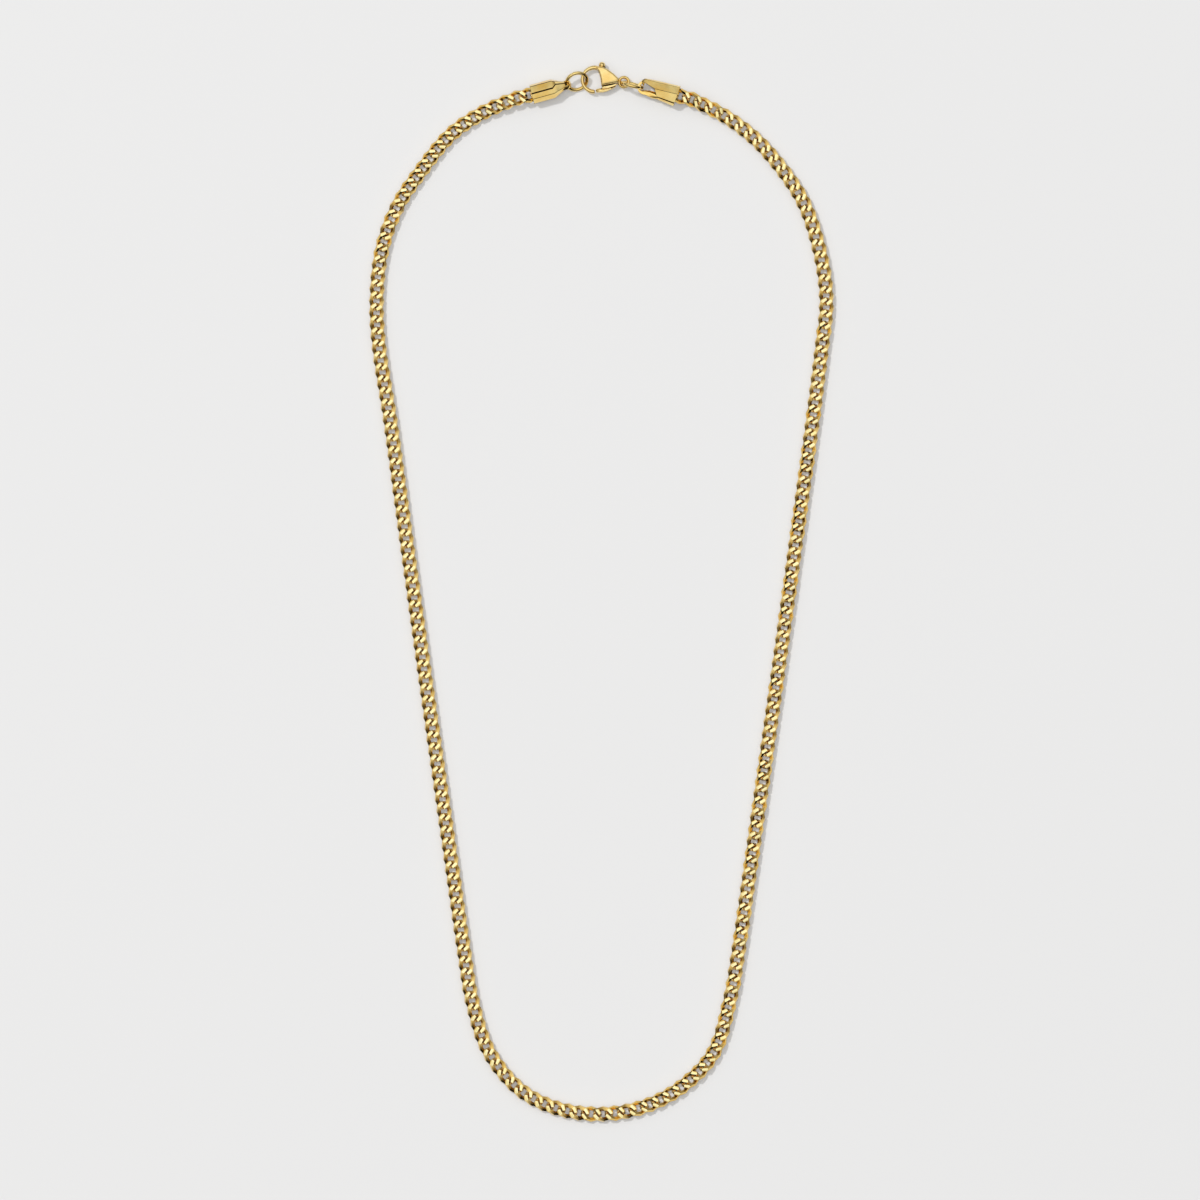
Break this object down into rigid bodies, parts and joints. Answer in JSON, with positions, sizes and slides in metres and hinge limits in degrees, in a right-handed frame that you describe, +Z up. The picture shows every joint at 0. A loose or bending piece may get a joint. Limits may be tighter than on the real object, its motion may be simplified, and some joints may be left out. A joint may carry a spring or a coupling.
{
  "type": "chain necklace with lobster clasp",
  "caption": "Gold-coloured franco-type neck chain of interlocked diamond-cut links, closed by folded end caps, jump rings and a sprung lobster clasp.",
  "frame": {"origin": "under the middle of the loop's bounding box, on the surface that the necklace lies on", "axes": "+Y along the loop's length towards the clasp, +X across the loop, +Z up from the surface"},
  "size_m": [0.1138, 0.2596, 0.0058],
  "materials": {
    "gold_chain": "gold-plated stainless steel, diamond-cut and polished",
    "gold_sheet": "gold-plated stainless sheet, folded and polished",
    "gold_wire": "gold-plated stainless wire, polished",
    "gold_clasp": "gold-plated stainless steel, tumbled to a soft polish"
  },
  "bodies": {
    "necklace": {"chain_left": "gold_chain", "chain_right": "gold_chain", "end_cap_left": "gold_sheet", "end_cap_right": "gold_sheet", "end_ring": "gold_wire", "clasp_ring": "gold_wire", "clasp_body": "gold_clasp"},
    "lever": {"clasp_lever": "gold_clasp"}
  },
  "joints": [
    {"name": "clasp_lever_pivot", "type": "hinge", "parent": "necklace", "child": "lever", "pos_m": [0.0027, 0.12535, 0.0017], "axis": [0, 0, -1], "range_deg": [0, 20], "stiffness_Nm_per_rad": 0.002, "springref_deg": -5.73}
  ]
}
